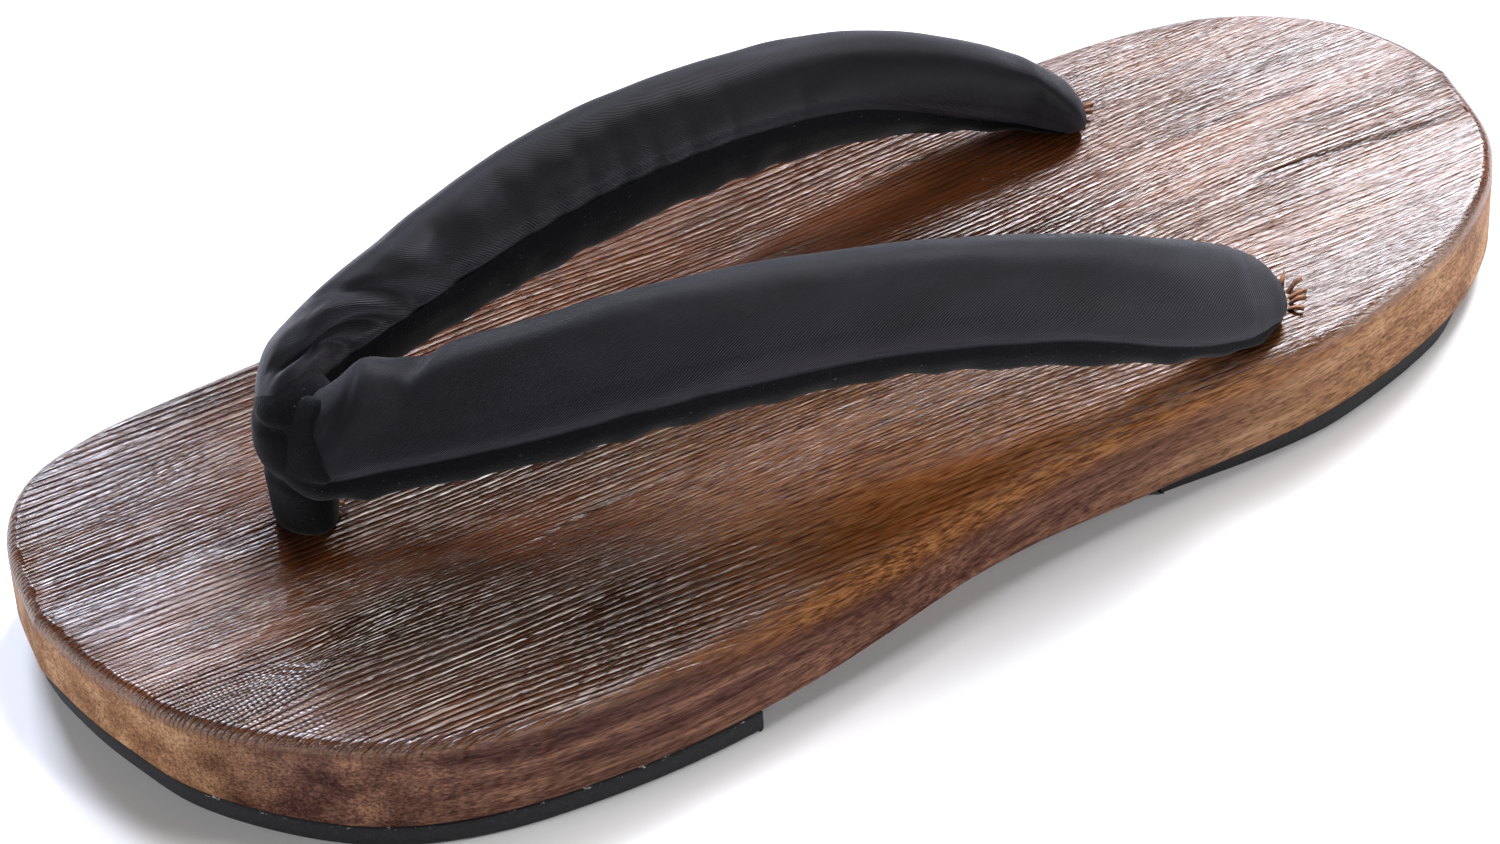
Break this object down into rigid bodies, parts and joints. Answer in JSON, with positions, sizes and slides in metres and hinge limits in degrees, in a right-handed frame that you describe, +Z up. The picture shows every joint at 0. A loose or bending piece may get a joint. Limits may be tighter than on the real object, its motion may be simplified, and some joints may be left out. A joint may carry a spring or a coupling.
{
  "type": "geta sandal",
  "caption": "Left geta sandal: a flat foot-shaped wooden board on rubber pads, with a padded thong strap and a velvet toe post.",
  "frame": {"origin": "on the floor under the middle of the board", "axes": "+Y from toe to heel, +X towards the outer side of the left foot, +Z up"},
  "size_m": [0.105, 0.27, 0.0648],
  "materials": {
    "wood": "scorched, brushed and lacquered",
    "rubber": "matte textured foam rubber",
    "satin": "charcoal satin twill over soft padding",
    "velvet": "black velvet"
  },
  "bodies": {
    "root": {"sole_board": "wood", "outsole_front": "rubber", "outsole_heel": "rubber", "strap": "satin", "toe_post": "velvet"}
  },
  "joints": []
}
